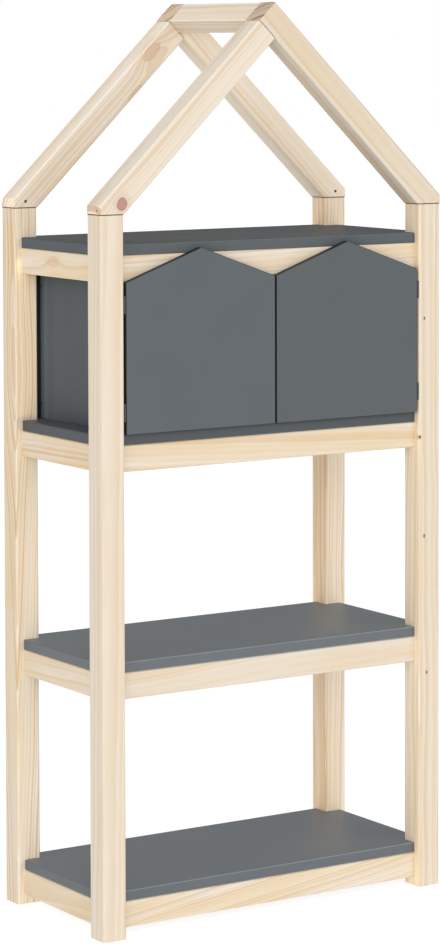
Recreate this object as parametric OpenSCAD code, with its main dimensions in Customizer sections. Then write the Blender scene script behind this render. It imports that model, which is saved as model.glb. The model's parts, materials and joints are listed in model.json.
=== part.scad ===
// House-shaped children's bookshelf with a two-door cabinet.
// Millimetres, +Z up, front towards -Y, origin on the floor at the middle of the frame.

/* [Frame] */
// Width over the posts
frame_w = 700; // [560:1:900]
// Depth over the posts
frame_d = 336; // [270:1:420]
// Side of a square post
post_s = 45; // [42:1:60]
// Arris radius of posts and rafters
post_round = 4; // [1:0.5:6]
// Clear height under the bottom rails
leg_gap = 16; // [8:1:60]
// Height of a rail
rail_h = 45; // [36:1:70]
// Thickness of a rail
rail_t = 19; // [16:1:24]
// Arris radius of a rail
rail_round = 3; // [1:0.5:5]

/* [Bays] */
// Clear height of the bottom bay
bottom_bay = 326; // [240:1:400]
// Clear height of the middle bay
middle_bay = 321; // [240:1:400]
// Clear height of the cabinet, from its floor to the front rail
cabinet_bay = 256; // [200:1:320]
// Height of the posts above the top board
post_rise = 51; // [30:1:120]

/* [Boards] */
// Thickness of a shelf board
board_t = 18; // [15:1:25]
// Arris radius of a shelf board
board_round = 1.5; // [0.5:0.25:4]
// Clearance between a board's corner notch and the post
notch_gap = 0.5; // [0.2:0.1:2]

/* [Roof] */
// Slope of both roof sides in degrees
roof_pitch = 44; // [36:0.5:50]
// Depth of a rafter, square to the slope
rafter_h = 45; // [36:1:60]
// Distance that a rafter foot reaches past the inner face of its post
foot_reach = 2.5; // [0:0.5:5]
// Thickness of the ridge beam, square to the slope
ridge_t = 31; // [22:1:36]
// Arris radius of the ridge beam
ridge_round = 3; // [1:0.5:5]

/* [Cabinet] */
// Thickness of the side and back panels
panel_t = 12; // [10:1:16]
// Distance from a post's inner face to the side panel
panel_inset = 17; // [12:1:40]
// Clearance between a side panel's notches and the rails
panel_clear = 0.3; // [0.2:0.1:1]
// Thickness of a door
door_t = 12; // [10:0.5:15]
// Gap between a closed door and the rails behind it
door_back_gap = 1; // [0.8:0.1:1.5]
// Gap between a door and its post
door_gap = 4.4; // [4:0.1:6]
// Gap between the two doors
middle_gap = 3; // [2:0.5:6]
// Gap between a door and the level of the cabinet floor
door_lift = 1; // [0.5:0.5:4]

/* [Hinges] */
// Clearance between a hinge knuckle and the post or the door beside it
knuckle_side = 0.3; // [0.2:0.05:0.5]
// Distance of the knuckles behind the door's front face
knuckle_back = 0.1; // [0:0.1:1]
// Diameter of a hinge pin
hinge_pin_d = 2; // [1.6:0.1:2.4]
// Radial running clearance on a hinge pin
pin_play = 0.05; // [0.03:0.01:0.08]
// Height of a hinge
hinge_h = 30; // [24:1:50]
// Distance from a hinge leaf to the door's back face
leaf_edge = 1; // [0.5:0.1:2]
// Thickness of a hinge leaf
leaf_t = 1.2; // [1:0.1:1.3]
// Distance from a door's corner to the end of a hinge
hinge_end = 22; // [15:1:60]
// Gap between neighbouring knuckles, and from a leaf to what turns past it
knuckle_gap = 0.3; // [0.2:0.1:0.6]
// Distance of a leaf screw from the end of its hinge
leaf_screw_end = 6; // [4:0.5:8]
// Distance of a leaf screw from the back edge of its leaf
leaf_screw_edge = 3.5; // [2.5:0.5:5]

/* [Fasteners] */
// Diameter of a rail dowel
dowel_d = 8; // [6:1:9]
// Depth of a rail dowel in the post
dowel_in_post = 15; // [10:1:16]
// Depth of a rail dowel in the rail
dowel_in_rail = 22; // [15:1:35]
// Height between the two dowels of a rail end
dowel_pitch = 24; // [16:1:26]
// Diameter of a panel dowel
panel_dowel_d = 6; // [5:1:7]
// Depth of a panel dowel on each side of its joint
panel_dowel_in = 10; // [6:1:12]
// Distance of a panel dowel from the middle of the depth
panel_dowel_y = 100; // [60:1:110]
// Diameter of a screw that holds a board
screw_d = 4; // [3:0.5:5]
// Diameter of a board screw's head
screw_head_d = 8; // [6.5:0.5:9]
// Height of a board screw's head
screw_head_h = 3; // [2:0.5:4]
// Distance of a board screw from the middle of the width
screw_x = 200; // [100:1:240]
// Depth of the plug hole under a board screw
screw_sink = 20; // [10:1:26]
// Clearance on the radius of a plug hole round its screw head
plug_gap = 0.5; // [0.2:0.1:1]
// Depth of a board screw in its board
screw_in_board = 12; // [8:1:14]
// Diameter of the steel pin in a rafter foot
foot_pin_d = 8; // [6:1:10]
// Height of the foot pin above the post
foot_pin_up = 20; // [16:1:24]
// Depth of the foot pin in the post
foot_pin_down = 30; // [20:1:45]
// Diameter of the screw that locks a foot pin
lock_d = 5.5; // [4:0.5:7]
// Height of the lock screw above the post
lock_rise = 11; // [8:0.5:13]
// Depth of the lock screw's head under the wood
lock_sink = 2; // [1:0.5:4]
// Size of the lock screw's hexagon socket
lock_socket_d = 3.3; // [2.5:0.1:4]
// Depth of the lock screw's hexagon socket
lock_socket_h = 2.5; // [2:0.5:4]
// Diameter of the screw through the apex joint
apex_screw_d = 5; // [4:0.5:6]
// Length of the screw through the apex joint
apex_screw_l = 72; // [60:1:90]
// Diameter of the apex screw's head
apex_head_d = 10; // [8:0.5:12]
// Height of the apex screw's head
apex_head_h = 4; // [3:0.5:6]
// Depth of the counterbore at the apex joint
apex_sink = 9; // [7:1:15]
// Distance between the two dowels at an end of the ridge beam
ridge_dowel_pitch = 16; // [12:1:22]
// Diameter of a small screw
small_screw_d = 2; // [1.6:0.1:2.4]
// Diameter of a small screw's head
small_head_d = 3.6; // [3:0.1:4.4]
// Height of a small screw's head
small_head_h = 0.9; // [0.6:0.1:1]
// Length of a small screw
small_screw_l = 11; // [8:0.5:14]
// Length of a screw between a side panel and the back panel
skew_screw_l = 14; // [10:1:15]
// Depth of a skew screw's head under the side panel's face
skew_sink = 1; // [0.5:0.5:2]
// Distance of a skew screw's head in front of the back panel
skew_front = 4; // [3:0.5:5]
// Height of a skew screw above the foot, or below the head, of the back panel
skew_rise = 25; // [15:1:60]
// Clearance on the radius of every fixed dowel, pin and screw
fixed_play = 0.05; // [0.02:0.01:0.1]
// Free depth at the end of a blind hole
hole_end = 0.5; // [0.2:0.1:1]

/* [Catch] */
// Width of the magnetic catch
catch_w = 44; // [38:1:60]
// Height of the magnetic catch
catch_h = 12; // [10:1:16]
// Depth of the magnetic catch
catch_d = 15; // [12:1:16]
// Distance of a catch screw from the end of the catch
catch_screw_end = 4; // [3:0.5:4]
// Depth of a catch screw in the rail
catch_screw_in = 8; // [6:1:12]
// Distance of a magnet from the middle
magnet_x = 13; // [11:0.5:15]
// Diameter of a magnet
magnet_d = 7; // [5:0.5:8]
// Length of a magnet
magnet_l = 6; // [4:0.5:9]
// Width of a strike plate
strike_w = 14; // [10:0.5:18]
// Height of a strike plate
strike_h = 10; // [8:0.5:11]
// Thickness of a strike plate
strike_t = 1; // [0.6:0.1:1]
// Gap between a magnet and its strike plate
strike_gap = 0.3; // [0.2:0.1:0.5]
// Length of the screw of a strike plate
strike_screw_l = 8; // [6:0.5:9]

/* [Hidden] */
$fn = 48;

pine = [0.91, 0.84, 0.73];
grey_paint = [0.40, 0.42, 0.43];
dark_metal = [0.16, 0.16, 0.17];
bright_metal = "silver";
black_plastic = [0.10, 0.10, 0.11];
beech = "burlywood";

half_w = frame_w / 2;
half_d = frame_d / 2;
post_in_x = half_w - post_s;
post_in_y = half_d - post_s;
post_mid_x = half_w - post_s / 2;
post_mid_y = half_d - post_s / 2;

rail_inset = door_t + door_back_gap;
rail_mid_x = half_w - rail_inset - rail_t / 2;
rail_mid_y = half_d - rail_inset - rail_t / 2;
board_edge_x = half_w - rail_inset;
board_edge_y = half_d - rail_inset;

level_step = rail_h + board_t;
bottom_z = leg_gap;
middle_z = bottom_z + level_step + bottom_bay;
cabinet_z = middle_z + level_step + middle_bay;
top_z = cabinet_z + level_step + cabinet_bay;
rail_levels = [bottom_z, middle_z, cabinet_z, top_z];
floor_top = cabinet_z + level_step;
ceiling = top_z + rail_h;
post_h = top_z + level_step + post_rise;
apex_z = post_h + (post_in_x - foot_reach) * tan(roof_pitch) + rafter_h / cos(roof_pitch);
apex_head_x = rafter_h / 2 * tan(2 * roof_pitch - 90) + apex_sink;

panel_out_x = post_in_x - panel_inset;
back_front_y = board_edge_y - panel_t;

door_out_x = post_in_x - door_gap;
door_in_x = middle_gap / 2;
door_bottom = floor_top + door_lift;
door_corner = top_z;
door_apex = ceiling + board_t / 2;
door_back_y = -half_d + door_t;

knuckle_d = door_gap - 2 * knuckle_side;
knuckle_h = (hinge_h - 2 * knuckle_gap) / 3;
knuckle_pitch = knuckle_h + knuckle_gap;
hinge_x = post_in_x - door_gap / 2;
hinge_y = -half_d + knuckle_back + knuckle_d / 2;
hinge_levels = [door_bottom + hinge_end + hinge_h / 2, door_corner - hinge_end - hinge_h / 2];
leaf_w = door_back_y - leaf_edge - hinge_y;

strike_y = door_back_y + strike_t;
strike_z = top_z - catch_h / 2;
catch_front_y = strike_y + strike_gap;

// How far a cut runs past the face that it opens.
over = 1;
big = 3 * max(frame_w, post_h);

// Rectangle from the origin with rounded corners, made of true arcs.
module rounded_rect(w, h, r) {
    translate([r, 0]) square([w - 2 * r, h]);
    translate([0, r]) square([w, h - 2 * r]);
    for (x = [r, w - r], y = [r, h - r]) translate([x, y]) circle(r);
}

// Bar along +X with rounded long arrises.
module bar_x(l, w, h, r) {
    rotate([90, 0, 90]) linear_extrude(l) rounded_rect(w, h, r);
}

// Bar along +Y with rounded long arrises.
module bar_y(l, w, h, r) {
    translate([0, l, 0]) rotate([90, 0, 0]) linear_extrude(l) rounded_rect(w, h, r);
}

// Cylinder along +X, starting at the origin.
module rod_x(l, d) {
    rotate([0, 90, 0]) cylinder(d = d, h = l);
}

// Cylinder along +Y, starting at the origin.
module rod_y(l, d) {
    rotate([-90, 0, 0]) cylinder(d = d, h = l);
}

// Draws its children as given, then mirrored to the other side.
module both_sides() {
    children();
    mirror([1, 0, 0]) children();
}

// Draws its children at the front, then mirrored to the back.
module front_and_back() {
    children();
    mirror([0, 1, 0]) children();
}

// Mirrors its children: sx = -1 keeps them on the left, sy = -1 keeps them in front.
module corner(sx, sy) {
    mirror([sx > 0 ? 1 : 0, 0, 0]) mirror([0, sy > 0 ? 1 : 0, 0]) children();
}

// Dowels or their holes between the front left post and its two rails at one level.
module rail_dowel_set(z, d, in_post, in_rail) {
    for (s = [-1, 1]) {
        h = z + rail_h / 2 + s * dowel_pitch / 2;
        translate([-post_in_x - in_post, -rail_mid_y, h]) rod_x(in_post + in_rail, d);
        translate([-rail_mid_x, -post_in_y - in_post, h]) rod_y(in_post + in_rail, d);
    }
}

// Every rail dowel hole at the front left corner.
module rail_dowel_holes() {
    for (z = rail_levels)
        rail_dowel_set(z, dowel_d + 2 * fixed_play, dowel_in_post + hole_end, dowel_in_rail + hole_end);
}

// Steel pin of the front left rafter foot, or its hole.
module foot_pin(play) {
    translate([-post_mid_x, -post_mid_y, post_h - foot_pin_down - play])
        cylinder(d = foot_pin_d + 2 * play, h = foot_pin_down + foot_pin_up + 2 * play);
}

// Screw that locks the front left foot pin, with its hexagon socket.
module lock_screw() {
    tip_y = -post_mid_y + foot_pin_d / 2 + fixed_play;
    head_y = -post_in_y - lock_sink;
    difference() {
        translate([-post_mid_x, tip_y, post_h + lock_rise]) rod_y(head_y - tip_y, lock_d);
        translate([-post_mid_x, head_y - lock_socket_h, post_h + lock_rise])
            rotate([-90, 0, 0]) cylinder(d = lock_socket_d, h = lock_socket_h + over, $fn = 6);
    }
}

module lock_screw_hole() {
    translate([-post_mid_x, -post_mid_y, post_h + lock_rise])
        rod_y(post_s / 2 + over, lock_d + 2 * fixed_play);
}

// Small countersunk screw up +Z from the face that its head lies in, or its hole.
module small_screw(l, play, extra) {
    cylinder(d = small_screw_d + 2 * play, h = l + extra);
    cylinder(d1 = small_head_d + 2 * play, d2 = small_screw_d + 2 * play, h = small_head_h);
}

// Screws of the left hinges' leaves, or their holes: on_post is true for the post's leaves.
module leaf_screws(on_post, play, extra) {
    face_x = on_post ? -post_in_x + leaf_t : -door_out_x - leaf_t;
    for (z = hinge_levels, s = [-1, 1])
        translate([face_x, hinge_y + leaf_w - leaf_screw_edge, z + s * (hinge_h / 2 - leaf_screw_end)])
            rotate([0, on_post ? -90 : 90, 0]) small_screw(small_screw_l, play, extra);
}

// Front left post, which is mirrored to the other corners.
module post() {
    difference() {
        translate([-half_w, -half_d, 0]) linear_extrude(post_h) rounded_rect(post_s, post_s, post_round);
        rail_dowel_holes();
        foot_pin(fixed_play);
    }
}

// A front post also has the holes of the hinge screws.
module hinge_post() {
    difference() {
        post();
        leaf_screws(true, fixed_play, hole_end);
    }
}

module post_front_left() { color(pine) corner(-1, -1) hinge_post(); }
module post_front_right() { color(pine) corner(1, -1) hinge_post(); }
module post_back_left() { color(pine) corner(-1, 1) post(); }
module post_back_right() { color(pine) corner(1, 1) post(); }

// Places its children in the frame of the right slope: X down the slope, Z out of the roof.
module right_slope() { translate([0, 0, apex_z]) rotate([0, roof_pitch, 0]) children(); }
// The same frame in the left slope: X down that slope.
module left_slope() { mirror([1, 0, 0]) right_slope() children(); }

// Everything above a plane of the slope frame.
module above(z) { translate([-big / 2, -big / 2, z]) cube(big); }

// Rafter of the right slope in the front gable, before its upper end is cut.
module rafter_bar() {
    difference() {
        right_slope() translate([-rafter_h, -half_d, -rafter_h])
            bar_x(half_w / cos(roof_pitch) + 2 * rafter_h, post_s, rafter_h, post_round);
        translate([-big / 2, -big / 2, post_h - big]) cube(big);
        translate([half_w, -big / 2, 0]) cube(big);
        mirror([1, 0, 0]) {
            foot_pin(fixed_play);
            lock_screw_hole();
        }
    }
}

// Screw through the front apex joint: it runs down the left slope from the right slope's face.
module apex_screw(play) {
    left_slope() translate([apex_head_x, -post_mid_y, -rafter_h / 2]) {
        rod_x(apex_screw_l + play, apex_screw_d + 2 * play);
        rod_x(apex_head_h, apex_head_d + 2 * play);
    }
}

module apex_screw_hole() {
    apex_screw(fixed_play);
    left_slope() translate([apex_head_x - apex_sink - apex_head_d, -post_mid_y, -rafter_h / 2])
        rod_x(apex_sink + apex_head_d, apex_head_d + 2 * plug_gap);
}

// Dowels between the ridge beam and the front gable, or their holes.
module ridge_dowel_pair(d, reach) {
    for (s = [-1, 1])
        left_slope() translate([(rafter_h + s * ridge_dowel_pitch) / 2, -post_in_y - reach, -ridge_t / 2])
            rod_y(2 * reach, d);
}

// The right rafter runs through to the apex, and its end lies in the left slope.
module through_rafter() {
    difference() {
        rafter_bar();
        left_slope() above(0);
        apex_screw_hole();
        ridge_dowel_pair(dowel_d + 2 * fixed_play, dowel_in_post + hole_end);
    }
}

// The left rafter butts against the underside of the right one.
module butt_rafter() {
    difference() {
        mirror([1, 0, 0]) rafter_bar();
        right_slope() above(-rafter_h);
        apex_screw_hole();
    }
}

module rafter_front_left() { color(pine) butt_rafter(); }
module rafter_front_right() { color(pine) through_rafter(); }
module rafter_back_left() { color(pine) mirror([0, 1, 0]) butt_rafter(); }
module rafter_back_right() { color(pine) mirror([0, 1, 0]) through_rafter(); }

module ridge_beam() {
    color(pine) difference() {
        left_slope() translate([0, -post_in_y, -ridge_t])
            bar_y(2 * post_in_y, rafter_h, ridge_t, ridge_round);
        front_and_back() ridge_dowel_pair(dowel_d + 2 * fixed_play, dowel_in_post + hole_end);
    }
}

// Plug hole and clearance hole for the board screws of a front rail.
module board_screw_holes(z) {
    for (x = [-screw_x, screw_x]) translate([x, -rail_mid_y, z]) {
        translate([0, 0, -over]) cylinder(d = screw_head_d + 2 * plug_gap, h = screw_sink + over);
        cylinder(d = screw_d + 2 * fixed_play, h = rail_h + screw_in_board + hole_end);
    }
}

// Front rail of one level.
module front_rail(z) {
    difference() {
        translate([-post_in_x, -board_edge_y, z]) bar_x(2 * post_in_x, rail_t, rail_h, rail_round);
        both_sides() rail_dowel_holes();
        board_screw_holes(z);
    }
}

// Left rail of one level.
module left_rail(z) {
    difference() {
        translate([-board_edge_x, -post_in_y, z]) bar_y(2 * post_in_y, rail_t, rail_h, rail_round);
        front_and_back() rail_dowel_holes();
    }
}

module back_rail(z) { mirror([0, 1, 0]) front_rail(z); }
module right_rail(z) { mirror([1, 0, 0]) left_rail(z); }

module bottom_rail_front() { color(pine) front_rail(bottom_z); }
module bottom_rail_back() { color(pine) back_rail(bottom_z); }
module bottom_rail_left() { color(pine) left_rail(bottom_z); }
module bottom_rail_right() { color(pine) right_rail(bottom_z); }
module middle_rail_front() { color(pine) front_rail(middle_z); }
module middle_rail_back() { color(pine) back_rail(middle_z); }
module middle_rail_left() { color(pine) left_rail(middle_z); }
module middle_rail_right() { color(pine) right_rail(middle_z); }
module cabinet_rail_front() { color(pine) front_rail(cabinet_z); }
module cabinet_rail_back() { color(pine) back_rail(cabinet_z); }
module cabinet_rail_left() { color(pine) left_rail(cabinet_z); }
module cabinet_rail_right() { color(pine) right_rail(cabinet_z); }
module top_rail_front() {
    color(pine) difference() {
        front_rail(top_z);
        catch_screw_pair(fixed_play);
    }
}
module top_rail_back() { color(pine) back_rail(top_z); }
module top_rail_left() { color(pine) left_rail(top_z); }
module top_rail_right() { color(pine) right_rail(top_z); }

// Board on the rails of one level, notched round the posts.
module shelf_board(z) {
    notch = post_s + notch_gap;
    difference() {
        intersection() {
            translate([-board_edge_x, -board_edge_y, z + rail_h])
                bar_x(2 * board_edge_x, 2 * board_edge_y, board_t, board_round);
            translate([-board_edge_x, -board_edge_y, z + rail_h])
                bar_y(2 * board_edge_y, 2 * board_edge_x, board_t, board_round);
        }
        for (sx = [-1, 1], sy = [-1, 1]) corner(sx, sy)
            translate([-half_w, -half_d, z]) cube([notch, notch, level_step + over]);
        front_and_back() board_screw_holes(z);
    }
}

module bottom_shelf() { color(grey_paint) shelf_board(bottom_z); }
module middle_shelf() { color(grey_paint) shelf_board(middle_z); }
module cabinet_floor() {
    color(grey_paint) difference() {
        shelf_board(cabinet_z);
        both_sides() panel_dowel_set(fixed_play);
    }
}
module top_shelf() {
    color(grey_paint) difference() {
        shelf_board(top_z);
        both_sides() panel_dowel_set(fixed_play);
    }
}

// Dowels at the foot and the head of the left side panel, or their holes.
module panel_dowel_set(play) {
    for (y = [-panel_dowel_y, panel_dowel_y], z = [floor_top, ceiling])
        translate([-panel_out_x + panel_t / 2, y, z - panel_dowel_in - play])
            cylinder(d = panel_dowel_d + 2 * play, h = 2 * (panel_dowel_in + play));
}

// Places its children at the left skew screws, which run at 45 degrees into the back panel.
module at_skew_screws() {
    for (z = [floor_top + skew_rise, top_z - skew_rise])
        translate([-panel_out_x, back_front_y - skew_front, z]) rotate([0, 0, 45])
            translate([skew_sink, 0, 0]) children();
}

module skew_screw_pair(play) {
    at_skew_screws() {
        rod_x(skew_screw_l + play, small_screw_d + 2 * play);
        rod_x(small_head_h, small_head_d + 2 * play);
    }
}

// Holes of the skew screws, open at the side panel's outer face.
module skew_screw_holes() {
    skew_screw_pair(fixed_play);
    at_skew_screws() translate([-skew_sink - small_head_d, 0, 0])
        rod_x(skew_sink + small_head_d, small_head_d + 2 * fixed_play);
}

// Left side panel of the cabinet, notched round the front and back rails.
module side_panel() {
    notch = rail_t + panel_clear;
    difference() {
        translate([-panel_out_x, -board_edge_y, floor_top])
            cube([panel_t, board_edge_y + back_front_y, ceiling - floor_top]);
        front_and_back() translate([-half_w, -board_edge_y - over, top_z - panel_clear])
            cube([half_w, notch + over, rail_h + panel_clear + over]);
        panel_dowel_set(fixed_play);
        skew_screw_holes();
    }
}

module cabinet_side_left() { color(grey_paint) side_panel(); }
module cabinet_side_right() { color(grey_paint) mirror([1, 0, 0]) side_panel(); }

module cabinet_back() {
    color(grey_paint) difference() {
        translate([-post_in_x + notch_gap, back_front_y, floor_top])
            cube([2 * (post_in_x - notch_gap), panel_t, top_z - floor_top]);
        both_sides() skew_screw_holes();
    }
}

// Left door: its top is a gable in front of the top rail and board.
module door() {
    outline = [
        [-door_out_x, door_bottom], [-door_in_x, door_bottom], [-door_in_x, door_corner],
        [-(door_out_x + door_in_x) / 2, door_apex], [-door_out_x, door_corner],
    ];
    difference() {
        translate([0, door_back_y, 0]) rotate([90, 0, 0]) linear_extrude(door_t) polygon(outline);
        leaf_screws(false, fixed_play, hole_end);
        strike_screw(fixed_play);
    }
}

module door_left() { color(grey_paint) door(); }
module door_right() { color(grey_paint) mirror([1, 0, 0]) door(); }

// Hinge knuckle of a left hinge: n counts up from the lowest.
module knuckle(z, n, play) {
    translate([-hinge_x, hinge_y, z - hinge_h / 2 + n * knuckle_pitch]) difference() {
        cylinder(d = knuckle_d, h = knuckle_h);
        translate([0, 0, -over]) cylinder(d = hinge_pin_d + 2 * play, h = knuckle_h + 2 * over);
    }
}

// Leaf of a left hinge, cut free of the pin and of the other leaf's knuckles.
module leaf(x, z, others) {
    difference() {
        translate([x, hinge_y, z - hinge_h / 2]) cube([leaf_t, leaf_w, hinge_h]);
        translate([-hinge_x, hinge_y, z - hinge_h / 2]) {
            for (n = others) translate([0, 0, n * knuckle_pitch - knuckle_gap])
                cylinder(d = knuckle_d + 2 * knuckle_gap, h = knuckle_h + 2 * knuckle_gap);
            translate([0, 0, -over]) cylinder(d = hinge_pin_d + 2 * knuckle_gap, h = hinge_h + 2 * over);
        }
    }
}

// Leaves on the left post, each with the two outer knuckles.
module frame_leaves() {
    difference() {
        for (z = hinge_levels) {
            leaf(-post_in_x, z, [1]);
            for (n = [0, 2]) knuckle(z, n, fixed_play);
        }
        leaf_screws(true, fixed_play, 0);
    }
}

// Leaves on the left door, each with the middle knuckle.
module door_leaves() {
    difference() {
        for (z = hinge_levels) {
            leaf(-door_out_x - leaf_t, z, [0, 2]);
            knuckle(z, 1, pin_play);
        }
        leaf_screws(false, fixed_play, 0);
    }
}

module hinge_leaves_frame() { color(dark_metal) both_sides() frame_leaves(); }
module hinge_leaves_left() { color(dark_metal) door_leaves(); }
module hinge_leaves_right() { color(dark_metal) mirror([1, 0, 0]) door_leaves(); }

module hinge_pins() {
    color(dark_metal) both_sides() for (z = hinge_levels)
        translate([-hinge_x, hinge_y, z - hinge_h / 2]) cylinder(d = hinge_pin_d, h = hinge_h);
}

module hinge_screws_frame() { color(dark_metal) both_sides() leaf_screws(true, 0, 0); }
module hinge_screws_left() { color(dark_metal) leaf_screws(false, 0, 0); }
module hinge_screws_right() { color(dark_metal) mirror([1, 0, 0]) leaf_screws(false, 0, 0); }

module rail_dowels() {
    color(beech) both_sides() front_and_back() for (z = rail_levels)
        rail_dowel_set(z, dowel_d, dowel_in_post, dowel_in_rail);
}

module ridge_dowels() { color(beech) front_and_back() ridge_dowel_pair(dowel_d, dowel_in_post); }
module panel_dowels() { color(beech) both_sides() panel_dowel_set(0); }

module shelf_screws() {
    color(bright_metal) front_and_back() for (z = rail_levels, x = [-screw_x, screw_x])
        translate([x, -rail_mid_y, z + screw_sink]) {
            cylinder(d = screw_d, h = rail_h - screw_sink + screw_in_board);
            translate([0, 0, -screw_head_h]) cylinder(d = screw_head_d, h = screw_head_h);
        }
}

module foot_pins() { color(bright_metal) both_sides() front_and_back() foot_pin(0); }
module foot_lock_screws() { color(dark_metal) both_sides() front_and_back() lock_screw(); }
module apex_screws() { color(bright_metal) front_and_back() apex_screw(0); }
module back_panel_screws() { color(dark_metal) both_sides() skew_screw_pair(0); }

// Screws that hold the catch under the top rail, or their holes.
module catch_screw_pair(play) {
    both_sides() translate([-catch_w / 2 + catch_screw_end, catch_front_y + catch_d / 2, top_z - catch_h])
        small_screw(catch_h + catch_screw_in, play, play);
}

module catch_magnet(play) {
    translate([-magnet_x, catch_front_y, strike_z]) rod_y(magnet_l + play, magnet_d + 2 * play);
}

module catch_body() {
    color(black_plastic) difference() {
        translate([-catch_w / 2, catch_front_y, top_z - catch_h]) cube([catch_w, catch_d, catch_h]);
        catch_screw_pair(fixed_play);
        both_sides() catch_magnet(fixed_play);
    }
}

module catch_magnets() { color(bright_metal) both_sides() catch_magnet(0); }
module catch_screws() { color(bright_metal) catch_screw_pair(0); }

// Screw of the left strike plate, or its hole.
module strike_screw(play) {
    translate([-magnet_x, strike_y, strike_z]) rotate([90, 0, 0])
        small_screw(strike_screw_l, play, play);
}

module strike_plate() {
    difference() {
        translate([-magnet_x - strike_w / 2, door_back_y, strike_z - strike_h / 2])
            cube([strike_w, strike_t, strike_h]);
        strike_screw(fixed_play);
    }
}

module strike_plate_left() { color(bright_metal) strike_plate(); }
module strike_plate_right() { color(bright_metal) mirror([1, 0, 0]) strike_plate(); }
module strike_screw_left() { color(bright_metal) strike_screw(0); }
module strike_screw_right() { color(bright_metal) mirror([1, 0, 0]) strike_screw(0); }

post_front_left();
post_front_right();
post_back_left();
post_back_right();
rafter_front_left();
rafter_front_right();
rafter_back_left();
rafter_back_right();
ridge_beam();
bottom_rail_front();
bottom_rail_back();
bottom_rail_left();
bottom_rail_right();
middle_rail_front();
middle_rail_back();
middle_rail_left();
middle_rail_right();
cabinet_rail_front();
cabinet_rail_back();
cabinet_rail_left();
cabinet_rail_right();
top_rail_front();
top_rail_back();
top_rail_left();
top_rail_right();
bottom_shelf();
middle_shelf();
cabinet_floor();
top_shelf();
cabinet_side_left();
cabinet_side_right();
cabinet_back();
door_left();
door_right();
hinge_leaves_frame();
hinge_leaves_left();
hinge_leaves_right();
hinge_pins();
hinge_screws_frame();
hinge_screws_left();
hinge_screws_right();
rail_dowels();
ridge_dowels();
panel_dowels();
shelf_screws();
foot_pins();
foot_lock_screws();
apex_screws();
back_panel_screws();
catch_body();
catch_magnets();
catch_screws();
strike_plate_left();
strike_plate_right();
strike_screw_left();
strike_screw_right();
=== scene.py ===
"""House-shaped children's bookshelf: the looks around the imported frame. Metres, front towards -Y."""

import json
import math

import bmesh
import bpy
from mathutils import Matrix, Vector


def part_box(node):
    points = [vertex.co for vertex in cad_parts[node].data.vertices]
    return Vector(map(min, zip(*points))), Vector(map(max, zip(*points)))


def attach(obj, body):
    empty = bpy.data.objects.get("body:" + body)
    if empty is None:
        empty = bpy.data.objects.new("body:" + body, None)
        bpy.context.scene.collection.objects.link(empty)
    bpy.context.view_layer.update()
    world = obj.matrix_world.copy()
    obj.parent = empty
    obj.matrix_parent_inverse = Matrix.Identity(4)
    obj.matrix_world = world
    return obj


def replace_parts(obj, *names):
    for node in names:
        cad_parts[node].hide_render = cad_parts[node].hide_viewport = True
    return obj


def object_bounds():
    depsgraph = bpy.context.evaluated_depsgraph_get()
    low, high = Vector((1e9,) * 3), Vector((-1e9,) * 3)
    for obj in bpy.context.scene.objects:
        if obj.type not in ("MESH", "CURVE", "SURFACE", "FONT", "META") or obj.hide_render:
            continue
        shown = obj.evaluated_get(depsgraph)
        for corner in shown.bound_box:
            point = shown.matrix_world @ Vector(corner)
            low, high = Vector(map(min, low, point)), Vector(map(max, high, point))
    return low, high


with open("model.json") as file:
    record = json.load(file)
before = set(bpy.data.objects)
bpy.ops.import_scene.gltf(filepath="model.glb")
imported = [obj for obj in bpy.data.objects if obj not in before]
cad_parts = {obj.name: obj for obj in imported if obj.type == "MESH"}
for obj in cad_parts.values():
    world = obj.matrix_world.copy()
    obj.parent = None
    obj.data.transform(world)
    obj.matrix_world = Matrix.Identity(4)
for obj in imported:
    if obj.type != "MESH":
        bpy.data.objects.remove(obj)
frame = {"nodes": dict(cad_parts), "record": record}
NODES = frame["nodes"]
CAD_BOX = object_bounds()

MM = 0.001
X_AXIS, Y_AXIS, Z_AXIS = Vector((1, 0, 0)), Vector((0, 1, 0)), Vector((0, 0, 1))
WHITE = (1, 1, 1, 1)

# Camera, as fitted to the photograph
CAMERA_PLACE = (-3.0816, -4.7520, 1.5072)
CAMERA_YAW = math.radians(32.914)
CAMERA_PITCH = math.radians(-3.141)
CAMERA_ROLL = math.radians(-0.146)
FOCAL_LENGTH = 123.05
SENSOR = 36.0
SHIFT_UP = -0.2673

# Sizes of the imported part
POST_LO, POST_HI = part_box("post_front_left")
POST_SIDE = POST_HI.x - POST_LO.x
POST_TOP = POST_HI.z
ROOF_PITCH = math.radians(44)
APEX_Z = CAD_BOX[1].z
HALF_W = CAD_BOX[1].x
HALF_D = CAD_BOX[1].y
RIDGE_DEPTH = 31 * MM
NOTCH_GAP = 0.5 * MM
RAIL_GAP = 0.3 * MM

# Light of the studio, where 1 is white
WALL_LIGHT = 0.32
CEILING_LIGHT = 0.38
FLOOR_GLOW = 0.85
FLOOR_GREY = (0.3, 0.3, 0.3, 1)
FLOOR_REACH = 40.0

# Rounding of the edges
POST_ROUND = 4 * MM
RIDGE_ROUND = 3 * MM
END_ROUND = 0.8 * MM
BOARD_ROUND = 1.9 * MM
DOOR_ROUND = 2.0 * MM
PANEL_ROUND = 0.8 * MM
CORNER_ANGLE = math.radians(35)
SHARP_ANGLE = math.radians(40)

# Seams, and painted shade where pieces meet
SEAM_REACH = 1.25 * MM
SEAM_STRENGTH = 0.88
PAINTED_SHADE_TONE = 0.22
ON_RAIL_PAINTED_SHADE = 1.6 * MM
UNDER_RAIL_START = 9 * MM
UNDER_RAIL_END = 2 * MM
PAST_PANEL_START = 2 * MM
PAST_PANEL_END = 1 * MM

# Painted light on the side panels towards the back, where they lie in shade: where each starts and is full,
# and its tone
BACK_PART_PAINTED_LIGHT = (30 * MM, 120 * MM, 1.25)
BESIDE_POST_PAINTED_LIGHT = (108 * MM, 140 * MM, 2.2)
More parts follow.
